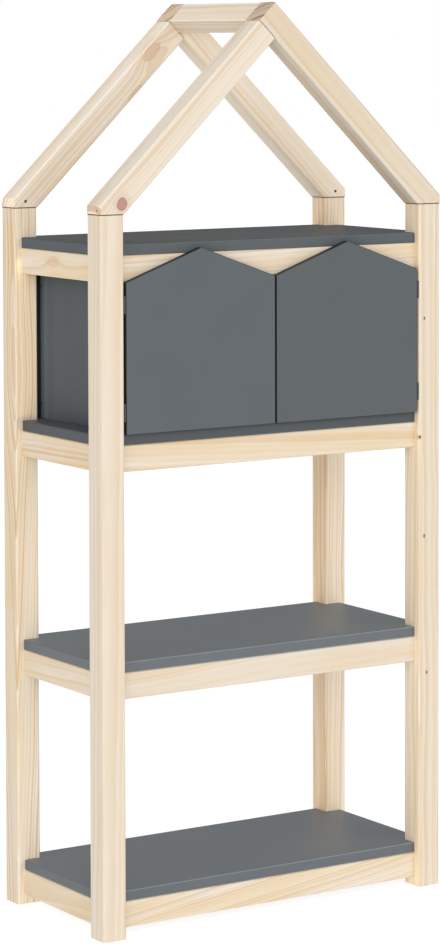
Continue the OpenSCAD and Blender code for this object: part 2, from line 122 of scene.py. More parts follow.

# Painted light, as tints of faces: the brighter left slope, and the heights between which the back left post
# has its own
LEFT_SLOPE_PAINTED_LIGHT = (1.2, 1.2, 1.2)
RIDGE_PAINTED_LIGHT = (1.3, 1.3, 1.3)
PAINTED_LIGHT_FADE = 15 * MM
BESIDE_CABINET = (0.865, 1.125)
ABOVE_BOTTOM_BAY = (0.53, 1.19)

# Holes: lock screws in the rafter feet, counterbore at the roof's top, skew screws in the side panels
HOLE_SIDES = 32
LOCK_PLAY = 0.05 * MM
LOCK_OUTSIDE = 5 * MM
APEX_HEAD_DEPTH = 8.2 * MM
APEX_OUTSIDE = 20 * MM
APEX_HOLE_R = 5.5 * MM
SKEW_HOLE_R = 1.85 * MM
SKEW_FRONT = 4 * MM
SKEW_RISE = 25 * MM
SKEW_OUTSIDE = 8 * MM
SKEW_DEPTH = 1 * MM


# Node graphs and materials

class Graph:
    """Short calls for building a node tree: each returns an output socket."""

    def __init__(self, tree):
        self.tree = tree

    def node(self, kind, **settings):
        made = self.tree.nodes.new("ShaderNode" + kind)
        for name, value in settings.items():
            setattr(made, name, value)
        return made

    def feed(self, socket, value):
        if isinstance(value, bpy.types.NodeSocket):
            self.tree.links.new(value, socket)
        else:
            socket.default_value = value

    def math(self, operation, a, b=0.0, c=0.0):
        made = self.node("Math", operation=operation)
        for socket, value in zip(made.inputs, (a, b, c)):
            self.feed(socket, value)
        return made.outputs[0]

    def times(self, a, b):
        return self.math("MULTIPLY", a, b)

    def flip(self, value):
        """1 minus the value."""
        return self.math("SUBTRACT", 1.0, value)

    def vector(self, operation, a, b=(0, 0, 0)):
        made = self.node("VectorMath", operation=operation)
        self.feed(made.inputs[0], a)
        self.feed(made.inputs[1], b)
        return made.outputs["Value" if operation in ("DOT_PRODUCT", "LENGTH") else "Vector"]

    def dot(self, a, b):
        return self.vector("DOT_PRODUCT", a, b)

    def stretch(self, a, factor):
        made = self.node("VectorMath", operation="SCALE")
        self.feed(made.inputs[0], a)
        self.feed(made.inputs["Scale"], factor)
        return made.outputs["Vector"]

    def combine(self, x, y, z):
        made = self.node("CombineXYZ")
        for socket, value in zip(made.inputs, (x, y, z)):
            self.feed(socket, value)
        return made.outputs[0]

    def separate(self, vector):
        made = self.node("SeparateXYZ")
        self.feed(made.inputs[0], vector)
        return made.outputs

    def step(self, value, low, high):
        """0 below low, 1 above high, smooth between them."""
        made = self.node("MapRange", interpolation_type="SMOOTHSTEP")
        for socket, setting in zip(made.inputs, (value, low, high, 0.0, 1.0)):
            self.feed(socket, setting)
        return made.outputs[0]

    def band(self, value, start, full, fall, end):
        """1 from full to fall, 0 below start and above end, smooth between them."""
        return self.times(self.step(value, start, full), self.flip(self.step(value, fall, end)))

    def span(self, value, low, high):
        """Maps 0 to 1 onto low to high."""
        return self.math("MULTIPLY_ADD", value, high - low, low)

    def noise(self, vector, scale=1.0, detail=2.0, roughness=0.5):
        made = self.node("TexNoise")
        self.feed(made.inputs["Vector"], vector)
        made.inputs["Scale"].default_value = scale
        made.inputs["Detail"].default_value = detail
        made.inputs["Roughness"].default_value = roughness
        return made.outputs

    def noise_line(self, value):
        """Noise along a line."""
        made = self.node("TexNoise", noise_dimensions="1D")
        self.feed(made.inputs["W"], value)
        made.inputs["Scale"].default_value = 1.0
        made.inputs["Detail"].default_value = 1.0
        return made.outputs["Fac"]

    def mix(self, factor, a, b, blend="MIX"):
        made = self.node("Mix", data_type="RGBA", blend_type=blend)
        self.feed(made.inputs["Factor"], factor)
        self.feed(made.inputs["A"], a)
        self.feed(made.inputs["B"], b)
        return made.outputs["Result"]

    def shaded(self, colour, brightness):
        """The colour times a brightness."""
        return self.mix(1.0, colour, self.combine(brightness, brightness, brightness), "MULTIPLY")


def rgb(red, green, blue):
    """Colour as seen on a screen, 0 to 255, turned into linear light."""
    def linear(c):
        c /= 255
        return c / 12.92 if c <= 0.04045 else ((c + 0.055) / 1.055) ** 2.4
    return (linear(red), linear(green), linear(blue), 1.0)


def new_material(name):
    """A new material, with its graph and its shader."""
    material = bpy.data.materials.new(name)
    material.use_nodes = True
    tree = material.node_tree
    return material, Graph(tree), tree.nodes["Principled BSDF"]


def add_bump(g, shader, height, strength, distance):
    bump = g.node("Bump")
    bump.inputs["Strength"].default_value = strength
    bump.inputs["Distance"].default_value = distance
    g.feed(bump.inputs["Height"], height)
    g.feed(shader.inputs["Normal"], bump.outputs[0])


# Camera, lights and floor

def make_camera():
    cos_y, sin_y = math.cos(CAMERA_YAW), math.sin(CAMERA_YAW)
    cos_p, sin_p = math.cos(CAMERA_PITCH), math.sin(CAMERA_PITCH)
    forward = Vector((sin_y * cos_p, cos_y * cos_p, sin_p))
    level = Vector((cos_y, -sin_y, 0))
    upright = level.cross(forward)
    right = math.cos(CAMERA_ROLL) * level + math.sin(CAMERA_ROLL) * upright
    up = right.cross(forward)
    data = bpy.data.cameras.new("camera")
    data.lens = FOCAL_LENGTH
    data.sensor_width = SENSOR
    data.shift_y = SHIFT_UP
    data.clip_start, data.clip_end = 0.1, 200
    camera = bpy.data.objects.new("camera", data)
    turn = Matrix((right, up, -forward)).transposed().to_4x4()
    camera.matrix_world = Matrix.Translation(CAMERA_PLACE) @ turn
    bpy.context.scene.collection.objects.link(camera)
    bpy.context.scene.camera = camera


def sun_light(name, towards, white, softness, shine=True):
    """Even soft light from one side: white is what it adds to a white surface that faces it.

    Softness is how wide the sun is, in degrees. Without shine it leaves no highlight on the paint.
    """
    data = bpy.data.lights.new(name, "SUN")
    data.energy = white * math.pi
    data.angle = math.radians(softness)
    light = bpy.data.objects.new(name, data)
    light.visible_glossy = shine
    light.rotation_mode = "QUATERNION"
    light.rotation_quaternion = Vector(towards).to_track_quat("Z", "Y")
    bpy.context.scene.collection.objects.link(light)


def make_lights():
    sun_light("left_key", (-0.42, -0.84, 0.34), 0.24, 40)
    sun_light("right_key", (0.40, -0.86, 0.32), 0.22, 40)
    sun_light("left_fill", (-1.0, -0.40, 0.10), 0.40, 50)
    sun_light("back_fill", (0.25, 1.0, 0.12), 0.34, 60, shine=False)
    sun_light("right_fill", (1.0, 0.3, 0.12), 0.26, 50, shine=False)


def make_world():
    """White studio: a ceiling a little brighter than the walls, and plain white where the camera sees it."""
    world = bpy.data.worlds.new("studio")
    world.use_nodes = True
    world.node_tree.nodes.clear()
    g = Graph(world.node_tree)
    height = g.separate(g.node("TexCoord").outputs["Generated"])[2]
    room = g.node("Background")
    g.feed(room.inputs["Strength"], g.span(g.math("MAXIMUM", height, 0.0), WALL_LIGHT, CEILING_LIGHT))
    seen = g.node("Background")
    for background in (room, seen):
        background.inputs["Color"].default_value = WHITE
    mix = g.node("MixShader")
    g.feed(mix.inputs[0], g.node("LightPath").outputs["Is Camera Ray"])
    g.feed(mix.inputs[1], room.outputs[0])
    g.feed(mix.inputs[2], seen.outputs[0])
    g.feed(g.node("OutputWorld").inputs[0], mix.outputs[0])
    bpy.context.scene.world = world
    bpy.context.scene.view_settings.view_transform = "Standard"


def make_floor():
    """Wide sheet of paper that glows, so that it is white without a shadow."""
    mesh = bpy.data.meshes.new("floor")
    corners = [(x * FLOOR_REACH, y * FLOOR_REACH, 0) for x, y in ((-1, -1), (1, -1), (1, 1), (-1, 1))]
    mesh.from_pydata(corners, [], [(0, 1, 2, 3)])
    floor = bpy.data.objects.new("floor", mesh)
    bpy.context.scene.collection.objects.link(floor)
    material, _, shader = new_material("floor_paper")
    shader.inputs["Base Color"].default_value = FLOOR_GREY
    shader.inputs["Roughness"].default_value = 1.0
    shader.inputs["Specular IOR Level"].default_value = 0.0
    shader.inputs["Emission Color"].default_value = WHITE
    shader.inputs["Emission Strength"].default_value = FLOOR_GLOW
    mesh.materials.append(material)


# Pine

EARLY_COOL = rgb(227, 217, 203)
EARLY_WARM = rgb(224, 204, 173)
LATE_WOOD = rgb(203, 165, 118)
END_EARLY = rgb(226, 206, 180)
END_LATE = rgb(176, 118, 84)
SEAM = rgb(98, 62, 38)
WOOD_GLOSS = 0.28

# Light and dark tone of each kind of knot
KNOT_TONES = (rgb(184, 132, 108), rgb(126, 80, 60))
FOOT_TONES = (rgb(196, 150, 132), rgb(150, 100, 84))
PIN_TONES = (rgb(140, 122, 100), rgb(70, 58, 48))
FLAME_TONES = (rgb(214, 170, 130), rgb(190, 134, 94))

# Width of a knot's own rings in mm, and how ragged its edge is, in knot radii
KNOT_RING = 1.6
KNOT_RAGGED = 0.22
EULER = 2.718

# How fine each pattern is along the grain and across it, per millimetre, and how far the grain wanders
SLOW_GRAIN = (0.0024, 0.009, 0.009)
QUICK_GRAIN = (0.011, 0.05, 0.05)
FIBRE_GRAIN = (0.012, 1.1, 1.1)
CANAL_GRAIN = (0.07, 1.9, 1.9)
CLOUD_GRAIN = (0.004, 0.03, 0.03)
SLOW_DRIFT = 16
QUICK_DRIFT = 2.2
SEED_STEP = (13.7, 5.1, 9.3)


def wood_noise(g, given, fineness, **settings):
    """Noise drawn out along the grain, at another place for each seed."""
    shift = g.stretch(SEED_STEP, given["Seed"])
    return g.noise(g.vector("ADD", g.vector("MULTIPLY", given["Place"], fineness), shift), **settings)


def wander(g, given, fineness, drift, detail):
    """Shift across the grain, by half the drift to each side at the most."""
    tint = wood_noise(g, given, fineness, detail=detail)["Color"]
    return g.vector("MULTIPLY", g.vector("SUBTRACT", tint, (0.5, 0.5, 0.5)), (0, drift, drift))


def ring_radius(g, given):
    """Distance from the pith line, which leans: the grain wanders and knots bend it."""
    drift = wander(g, given, SLOW_GRAIN, SLOW_DRIFT, 2.0)
    drift = g.vector("ADD", drift, wander(g, given, QUICK_GRAIN, QUICK_DRIFT, 1.0))
    along = g.separate(given["Place"])[0]
    from_pith = g.vector("SUBTRACT", given["Place"], given["Pith"])
    from_pith = g.vector("SUBTRACT", from_pith, g.stretch(given["Lean"], along))
    from_pith = g.vector("MULTIPLY", g.vector("ADD", from_pith, drift), (0, 1, 1))
    return g.math("ADD", g.vector("LENGTH", from_pith), given["Bend"])


def ring_tones(g, given):
    """How dark the late wood is, and wider bands of colour.

    The rings are of uneven width: pale early wood that darkens, then a sharp end.
    """
    count = g.math("DIVIDE", ring_radius(g, given), given["Spacing"])
    uneven = g.noise_line(g.math("MULTIPLY_ADD", count, 0.41, given["Seed"]))
    count = g.math("ADD", count, g.span(uneven, -0.9, 0.9))
    tone = g.node("TexWhiteNoise", noise_dimensions="1D")
    g.feed(tone.inputs["W"], g.math("ADD", g.math("FLOOR", count), given["Seed"]))
    strength = g.span(tone.outputs["Value"], 0.15, 1.0)
    late = g.times(g.band(g.math("FRACT", count), 0.20, 0.86, 0.90, 1.0), strength)
    band = g.noise_line(g.math("MULTIPLY_ADD", count, 0.33, g.math("ADD", given["Seed"], 40.0)))
    return late, band


def pine_group():
    """Growth rings round a pith line, in millimetres: X runs along the grain, Y and Z across it."""
    tree = bpy.data.node_groups.new("pine_grain", "ShaderNodeTree")
    for name in ("Place", "Pith", "Lean"):
        tree.interface.new_socket(name, in_out="INPUT", socket_type="NodeSocketVector")
    for name in ("Spacing", "Seed", "Bend", "Warmth", "Contrast", "Light", "End"):
        tree.interface.new_socket(name, in_out="INPUT", socket_type="NodeSocketFloat")
    for name, kind in (("Color", "Color"), ("Roughness", "Float"), ("Height", "Float")):
        tree.interface.new_socket(name, in_out="OUTPUT", socket_type="NodeSocket" + kind)
    g = Graph(tree)
    given = tree.nodes.new("NodeGroupInput").outputs
    result = tree.nodes.new("NodeGroupOutput").inputs
    late, band = ring_tones(g, given)

    # Fibres, short resin canals and clouds of warmer wood
    fibre = wood_noise(g, given, FIBRE_GRAIN, detail=3.0, roughness=0.6)["Fac"]
    canal = g.step(wood_noise(g, given, CANAL_GRAIN, detail=0.0)["Fac"], 0.70, 0.80)
    cloud = g.step(wood_noise(g, given, CLOUD_GRAIN, detail=1.0)["Fac"], 0.32, 0.68)
    warm = g.math("MULTIPLY_ADD", g.step(band, 0.30, 0.70), 0.7, g.times(cloud, 0.5))
    warm = g.math("MINIMUM", g.times(warm, given["Warmth"]), 1.0)

    early = g.mix(warm, EARLY_COOL, EARLY_WARM)
    side = g.mix(g.times(late, given["Contrast"]), early, LATE_WOOD)
    side = g.mix(g.times(canal, 0.22), side, LATE_WOOD)
    end = g.mix(g.math("MINIMUM", g.times(late, 1.6), 1.0), END_EARLY, END_LATE)
    colour = g.mix(given["End"], side, end)
    # Light scales the piece's brightness: partly the wood's own tone, partly painted light and shade
    g.feed(result["Color"], g.shaded(colour, g.times(g.span(fibre, 0.93, 1.06), given["Light"])))
    g.feed(result["Roughness"], g.math("MULTIPLY_ADD", late, -0.08, g.span(fibre, 0.54, 0.66)))
    height = g.math("MULTIPLY_ADD", late, 0.35, fibre)
    g.feed(result["Height"], g.math("SUBTRACT", height, g.times(canal, 0.8)))
    return tree


PINE = pine_group()


class Knot:
    """Branch through the wood: where it meets the surface, in mm, the way that it points, and its looks.

    Long is its length along the grain over its width, colour how strong it is, sweep how far it bends the
    rings, and depth how far in it ends, in mm.
    """

    def __init__(self, place, out, radius, long=1.0, colour=1.0, sweep=1.0, depth=60, tones=KNOT_TONES):
        self.place, self.out = Vector(place) * MM, Vector(out).normalized()
        self.radius, self.long, self.colour = radius, long, colour
        self.sweep, self.depth, self.tones = sweep, depth, tones

    def measure(self, g, place, middle, axes):
        """Distance from the branch's middle in knot radii, and 1 as deep as the branch goes, 0 below."""
        here = Vector((self.place - middle).dot(axis) for axis in axes) / MM
        out = Vector(self.out.dot(axis) for axis in axes)
        away = g.vector("SUBTRACT", place, here)
        forth = g.dot(away, out)
        away = g.vector("SUBTRACT", away, g.stretch(out, forth))
        size = (1 / (self.radius * self.long), 1 / self.radius, 1 / self.radius)
        away = g.vector("MULTIPLY", away, size)
        rough = g.noise(g.stretch(place, 0.7 / self.radius), detail=1.0)["Fac"]
        distance = g.math("ADD", g.vector("LENGTH", away), g.span(rough, -KNOT_RAGGED, KNOT_RAGGED))
        return distance, g.step(forth, -self.depth - self.radius, -self.depth)

    def push(self, g, distance, present):
        """How far the rings bend, in mm."""
        swell = g.math("POWER", EULER, g.times(g.times(distance, distance), -0.32))
        return g.times(g.times(swell, present), -self.sweep * self.radius)

    def paint_on(self, g, colour, distance, present):
        """The wood's colour with the knot on it: its rings, a dark rim and a soft halo."""
        light_tone, dark_tone = self.tones
        rings = g.math("FRACT", g.times(distance, self.radius / KNOT_RING))
        heart = g.mix(g.step(rings, 0.1, 0.9), light_tone, dark_tone)
        rim = g.band(distance, 0.78, 0.95, 1.0, 1.2)
        heart = g.mix(g.times(rim, 0.7), heart, dark_tone)
        inside = g.flip(g.step(distance, 0.92, 1.12))
        halo = g.times(g.flip(g.step(distance, 0.9, 2.6)), 0.25)
        cover = g.times(g.math("MAXIMUM", inside, halo), present)
        return g.mix(g.times(cover, self.colour), colour, heart)


def lifted(g, where, colour, lift):
    """The colour with painted light: a tint on the faces that look in a direction, in place of light from
    the room.

    Each is a direction, a tint and, where it isn't for the whole piece, the heights between which it is.
    """
    height = g.separate(where.outputs["Object"])[2]
    # painted light: the faces that look this way take the tint
    for direction, tint, *reach in lift:
        facing = g.dot(where.outputs["Normal"], direction)
        amount = g.step(facing, 0.3, 0.9)
        for bottom, top in reach:
            inside = g.band(height, bottom - PAINTED_LIGHT_FADE, bottom, top, top + PAINTED_LIGHT_FADE)
            amount = g.times(g.step(facing, 0.8, 0.97), inside)
        colour = g.mix(amount, colour, g.vector("MULTIPLY", colour, tint))
    return colour


def seamed(g, where, colour, seams):
    """The colour with a dark line along each seam, which is a point and a normal of its plane."""
    for point, normal in seams:
        gap = g.dot(g.vector("SUBTRACT", where.outputs["Object"], point), normal)
        near = g.flip(g.step(g.math("ABSOLUTE", gap), 0.6 * SEAM_REACH, SEAM_REACH))
        colour = g.mix(g.times(near, SEAM_STRENGTH), colour, SEAM)
    return colour


def pine(name, middle, along, across, pith, lean=(0, 0), spacing=5.0, seed=1.0, warmth=0.5, contrast=0.6,
         light=1.0, lift=(), knots=(), seams=()):
    """Pine for one piece: its middle, the way of its grain, its place in the tree, its knots and seams.
    Light scales the whole piece: partly its own tone, partly painted light and shade that even out how the
    lamps fall on it.
    """
    material, g, shader = new_material(name)
    shader.inputs["Specular IOR Level"].default_value = WOOD_GLOSS
    where = g.node("TexCoord")
    axes = (along, across, along.cross(across))
    local = g.stretch(g.vector("SUBTRACT", where.outputs["Object"], middle), 1 / MM)
    place = g.combine(*(g.dot(local, axis) for axis in axes))
    end_facing = g.math("ABSOLUTE", g.dot(where.outputs["Normal"], along))

    bend = 0.0
    marks = []
    for knot in knots:
        distance, present = knot.measure(g, place, middle, axes)
        bend = g.math("ADD", bend, knot.push(g, distance, present))
        marks.append((knot, distance, present))

    rings = g.node("Group")
    rings.node_tree = PINE
    given = {"Place": place, "Pith": (0, *pith), "Lean": (0, *lean), "Spacing": spacing, "Seed": seed,
             "Bend": bend, "Warmth": warmth, "Contrast": contrast, "Light": light,
             "End": g.step(end_facing, 0.62, 0.85)}
    for key, value in given.items():
        g.feed(rings.inputs[key], value)
    colour = rings.outputs["Color"]
    for knot, distance, present in marks:
        colour = knot.paint_on(g, colour, distance, present)
    colour = lifted(g, where, colour, lift)
    colour = seamed(g, where, colour, seams)
    g.feed(shader.inputs["Base Color"], colour)
    g.feed(shader.inputs["Roughness"], rings.outputs["Roughness"])
    add_bump(g, shader, rings.outputs["Height"], 0.25, 0.15 * MM)
    return material


# Paint, metal and plastic

def paint(name, colour, roughness=0.5, gloss=0.25, main=None, edge=1.0, arris_highlight=1.0, corners=()):
    """Rolled satin paint on smooth board: a fine orange peel and faint uneven patches.

    The faces that look along the main direction take the colour. Edge is the brightness of the other faces,
    a painted shade, and arris that of the rounding between them along the front and the back, a painted
    highlight. Corners are places of painted shade, where darker, and of painted light, where lighter, next
    to
    another piece: the way the face looks, the direction in which the tone changes, where that starts and
    ends, and the tone there.
    """
    material, g, shader = new_material(name)
    shader.inputs["Specular IOR Level"].default_value = gloss
    where = g.node("TexCoord")
    normal = where.outputs["Normal"]
    place = g.stretch(where.outputs["Object"], 1 / MM)
    patch = g.noise(place, scale=0.012, detail=3.0)["Fac"]
    speck = g.noise(place, scale=0.5, detail=2.0)["Fac"]
    shade = g.times(g.span(patch, 0.94, 1.06), g.span(speck, 0.97, 1.03))
    if main:
        # painted shade on the other faces, and a painted highlight on the rounding along the front and back
        level = g.math("ABSOLUTE", g.dot(normal, main))
        shade = g.times(shade, g.span(g.step(level, 0.35, 0.9), edge, 1.0))
        turn = g.band(level, 0.1, 0.4, 0.8, 0.98)
        painted_highlight_front_back = g.step(g.math("ABSOLUTE", g.dot(normal, Y_AXIS)), 0.15, 0.5)
        shade = g.times(shade, g.span(g.times(turn, painted_highlight_front_back), 1.0, arris_highlight))
    # painted shade and painted light next to other pieces
    for facing, direction, start, end, tone in corners:
        near = g.step(g.dot(where.outputs["Object"], direction), start, end)
        seen = g.step(g.dot(normal, facing), 0.5, 0.9)
        shade = g.times(shade, g.span(g.times(near, seen), 1.0, tone))
    g.feed(shader.inputs["Base Color"], g.shaded(colour, shade))
    g.feed(shader.inputs["Roughness"], g.span(patch, roughness - 0.06, roughness + 0.06))
    peel = g.math("ADD", g.noise(place, scale=0.35, detail=1.0)["Fac"], g.times(speck, 0.3))
    add_bump(g, shader, peel, 0.3, 0.12 * MM)
    return material


def metal(name, colour, metallic, roughness, brushed):
    """Plated or blackened steel with fine upright lines and small stains."""
    material, g, shader = new_material(name)
    shader.inputs["Metallic"].default_value = metallic
    place = g.stretch(g.node("TexCoord").outputs["Object"], 1 / MM)
    lines = g.noise(g.vector("MULTIPLY", place, (6, 6, 0.4)), detail=2.0)["Fac"]
    stain = g.noise(place, scale=0.3, detail=3.0)["Fac"]
    shade = g.times(g.span(stain, 0.82, 1.12), g.span(lines, 1 - brushed, 1 + brushed))
    g.feed(shader.inputs["Base Color"], g.shaded(colour, shade))
    g.feed(shader.inputs["Roughness"], g.span(stain, roughness - 0.08, roughness + 0.1))
    add_bump(g, shader, lines, 0.2, 0.03 * MM)
    return material


def moulded_plastic(name, colour):
    """Black moulded plastic with a fine spark-eroded grain."""
    material, g, shader = new_material(name)
    place = g.stretch(g.node("TexCoord").outputs["Object"], 1 / MM)
    eroded = g.noise(place, scale=3.0, detail=2.0)["Fac"]
    g.feed(shader.inputs["Base Color"], g.shaded(colour, g.span(eroded, 0.85, 1.15)))
    g.feed(shader.inputs["Roughness"], g.span(eroded, 0.45, 0.65))
    add_bump(g, shader, eroded, 0.35, 0.05 * MM)
    return material


GREY = rgb(91, 97, 100)
PALE_GREY = rgb(120, 127, 132)
TOP_GREY = rgb(93, 98, 101)
PANEL_GREY = rgb(86, 92, 95)
SIDE_GREY = rgb(81, 87, 90)
DOOR_GREY = {"left": rgb(88, 94, 97), "right": rgb(86, 91, 94)}
MATERIALS = {
    "black_steel": metal("blackened_steel", rgb(64, 68, 71), 0.2, 0.5, 0.06),
    "zinc_steel": metal("zinc_plate", rgb(196, 196, 192), 1.0, 0.34, 0.1),
    "black_plastic": moulded_plastic("moulded_plastic", rgb(36, 36, 38)),
    "beech": pine("dowel_beech", Vector((0, 0, 0)), X_AXIS, Y_AXIS, (200, 60), spacing=1.2, warmth=1.0),
}


# Meshes

def new_object(name, bm, material, body="frame"):
    """Turns a bmesh into an object with flat faces shaded flat and roundings shaded smooth."""
    mesh = bpy.data.meshes.new(name)
    bmesh.ops.recalc_face_normals(bm, faces=bm.faces)
    bm.to_mesh(mesh)
    bm.free()
    mesh.shade_smooth()
    mesh.set_sharp_from_angle(angle=SHARP_ANGLE)
    mesh.materials.append(material)
    made = bpy.data.objects.new(name, mesh)
    bpy.context.scene.collection.objects.link(made)
    shading = made.modifiers.new("flat_face_shading", "WEIGHTED_NORMAL")
    shading.keep_sharp = True
    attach(made, body)
    return made


def prism(outline, direction):
    """Solid made by moving a flat outline along a direction."""
    bm = bmesh.new()
    face = bm.faces.new([bm.verts.new(p) for p in outline])
    moved = bmesh.ops.extrude_face_region(bm, geom=[face])["geom"]
    verts = [v for v in moved if isinstance(v, bmesh.types.BMVert)]
    bmesh.ops.translate(bm, vec=direction, verts=verts)
    bmesh.ops.recalc_face_normals(bm, faces=bm.faces)
    return bm


def round_edges(bm, chosen, width, segments):
    edges = [e for e in bm.edges if len(e.link_faces) == 2 and chosen(e)]
    bmesh.ops.bevel(bm, geom=edges, offset=width, offset_type="OFFSET", segments=segments, profile=0.5,
                    affect="EDGES", clamp_overlap=False, harden_normals=False)


def runs_along(edge, axis):
    way = (edge.verts[1].co - edge.verts[0].co).normalized()
    return abs(way.dot(axis)) > 0.999


def is_corner(edge):
    """True for an edge that stands out and turns by more than the corner angle."""
    return edge.is_convex and edge.calc_face_angle(0) > CORNER_ANGLE


def round_timber(bm, along):
    """Planed timber: wide roundings along the grain, small ones at the ends."""
    round_edges(bm, lambda edge: runs_along(edge, along), POST_ROUND, segments=6)
    round_edges(bm, is_corner, END_ROUND, segments=2)


def drill_bit(start, end, radius):
    """Round rod from start to end, for cutting a hole."""
    bm = bmesh.new()
    turn = (end - start).to_track_quat("Z", "Y").to_matrix().to_4x4()
    bmesh.ops.create_cone(bm, cap_ends=True, segments=HOLE_SIDES, radius1=radius, radius2=radius,
                          depth=(end - start).length, matrix=Matrix.Translation((start + end) / 2) @ turn)
    mesh = bpy.data.meshes.new("drill")
    bm.to_mesh(mesh)
    bm.free()
    cutter = bpy.data.objects.new("drill", mesh)
    bpy.context.scene.collection.objects.link(cutter)
    return cutter


def drill(obj, holes):
    """Cuts round holes, each a start, an end and a radius, with the material of the piece inside."""
    for start, end, radius in holes:
        cutter = drill_bit(Vector(start), Vector(end), radius)
        cut = obj.modifiers.new("hole", "BOOLEAN")
        cut.operation, cut.solver, cut.object = "DIFFERENCE", "EXACT", cutter
        obj.modifiers.move(len(obj.modifiers) - 1, 0)
        shading = obj.modifiers[-1]
        shading.show_viewport = False
        bpy.context.view_layer.update()
        whole = obj.evaluated_get(bpy.context.evaluated_depsgraph_get())
        drilled = bpy.data.meshes.new_from_object(whole)
        shading.show_viewport = True
        obj.modifiers.remove(cut)
        obj.data = drilled
        bpy.data.objects.remove(cutter)


# Timber

def grain(pith, lean, spacing, seed, warmth, contrast, **more):
    """What pine() is told for one piece: the pith's place is across the piece, in mm, its lean per mm."""
    return dict(pith=pith, lean=lean, spacing=spacing, seed=seed, warmth=warmth, contrast=contrast, **more)


PIN_KNOTS = [Knot(place, (0, -1, 0), 1.7, 1.6, sweep=2.6, depth=8, tones=PIN_TONES)
             for place in ((316, -168, 1019), (307, -168, 808), (316, -168, 631), (322, -168, 386))]
SWELLING = Knot((-350, 146, 930), (-1, 0, 0), 30, 3.0, colour=0.0, sweep=0.5)
FOOT_KNOT = Knot((-308, -168, 1239.5), (0.1, -1, 0.5), 9.5, 1.1, colour=0.9, sweep=0.8, tones=FOOT_TONES)
FOOT_STROKE = Knot((-350, -156, 1229), (-1, 0, 0), 1.4, 3.0, sweep=0.0, depth=4, tones=PIN_TONES)
FLAME = Knot((-69, 123, 1491), (0, -1, 0), 10, 2.2, colour=0.45, sweep=1.6, tones=FLAME_TONES)
STREAK = Knot((-105, 123, 1420), (0, -1, -0.2), 3.5, 9.0, colour=0.4, sweep=0.5, tones=FLAME_TONES)
TOP_TICK = Knot((-181, 123, 1420.5), (0, -1, 0), 1.2, 3.0, sweep=1.0, depth=5, tones=PIN_TONES)
BLOTCH = Knot((-337, 13, 1134), (-1, 0, 0), 10, 1.9, colour=0.3, sweep=0.8, tones=FLAME_TONES)

# Painted light: tints that brighten post faces lying in shade; the back left post's left face is also made
# warmer
BACK_LEFT_PAINTED_LIGHT = [
    (-Y_AXIS, (1.13, 1.15, 1.17)),
    (-Y_AXIS, (1.36, 1.29, 1.17), BESIDE_CABINET),
    (-X_AXIS, (1.0, 0.95, 0.88), ABOVE_BOTTOM_BAY),
]
BACK_RIGHT_PAINTED_LIGHT = [(-Y_AXIS, (1.14, 1.14, 1.14)), (-X_AXIS, (1.26, 1.14, 1.03))]
FRONT_RIGHT_PAINTED_LIGHT = [(-X_AXIS, (1.22, 1.18, 1.11))]

POST_GRAINS = {
    "post_front_left": grain((-84, 66), (0.022, 0.004), 12.0, 3.1, 0.6, 0.36, light=0.985),
    "post_front_right": grain((74, 66), (-0.006, 0.004), 6.4, 8.4, 0.5, 0.5, light=0.97,
                              lift=FRONT_RIGHT_PAINTED_LIGHT, knots=PIN_KNOTS),
    "post_back_left": grain((-64, -70), (0.02, 0.05), 6.0, 15.7, 0.8, 0.9, lift=BACK_LEFT_PAINTED_LIGHT,
                            knots=[SWELLING]),
    "post_back_right": grain((60, 40), (0.01, -0.004), 6.0, 11.2, 0.8, 0.9, lift=BACK_RIGHT_PAINTED_LIGHT),
}
RAFTER_GRAINS = {
    ("left", "front"): grain((6, 88), (0.003, 0.004), 8.0, 2.3, 0.35, 0.4, knots=[FOOT_KNOT, FOOT_STROKE]),
    ("right", "front"): grain((44, 90), (-0.012, 0.006), 9.0, 9.9, 0.75, 0.4, light=0.92),
    ("left", "back"): grain((-40, 16), (0.012, 0.006), 7.5, 6.4, 0.5, 0.5, light=1.1,
                            knots=[FLAME, STREAK, TOP_TICK]),
    ("right", "back"): grain((-52, -46), (0.006, -0.004), 7.0, 12.6, 0.6, 0.5, light=1.14),
}
RIDGE_GRAIN = grain((16, -58), (0.02, 0.01), 5.0, 4.4, 0.5, 0.6)
RAIL_GRAINS = {
    "bottom_rail_front": grain((6, -96), (0.0, 0.14), 8.0, 21.0, 1.1, 0.6),
    "bottom_rail_back": grain((30, 60), (0.02, 0.02), 5.6, 22.0, 0.7, 0.5),
    "bottom_rail_left": grain((64, -28), (0.02, 0.1), 7.0, 23.0, 1.3, 0.6),
    "bottom_rail_right": grain((28, 62), (0.02, 0.04), 5.0, 24.0, 0.6, 0.5),
    "middle_rail_front": grain((20, -110), (0.0, 0.05), 11.0, 31.0, 0.8, 0.3, light=0.96),
    "middle_rail_back": grain((-30, 56), (0.02, 0.02), 5.2, 32.0, 0.6, 0.5),
    "middle_rail_left": grain((40, 60), (0.02, 0.03), 6.8, 33.0, 1.0, 0.35),
    "middle_rail_right": grain((26, -55), (0.02, 0.04), 5.4, 34.0, 0.6, 0.5),
    "cabinet_rail_front": grain((16, 120), (0.0, -0.05), 11.0, 41.0, 0.9, 0.4),
    "cabinet_rail_back": grain((-30, 60), (0.02, 0.02), 5.0, 42.0, 0.6, 0.5),
    "cabinet_rail_left": grain((40, -50), (0.02, 0.06), 6.6, 43.0, 1.5, 0.8),
    "cabinet_rail_right": grain((30, 60), (0.02, 0.03), 5.0, 44.0, 0.6, 0.5),
    "top_rail_front": grain((30, 58), (0.01, 0.03), 7.0, 51.0, 1.0, 0.5),
    "top_rail_back": grain((-30, 60), (0.02, 0.02), 5.0, 52.0, 0.6, 0.5),
    "top_rail_left": grain((50, 44), (0.02, 0.02), 7.4, 53.0, 1.4, 0.35, light=1.04, knots=[BLOTCH]),
    "top_rail_right": grain((30, 60), (0.02, 0.03), 5.0, 54.0, 0.6, 0.5),
}


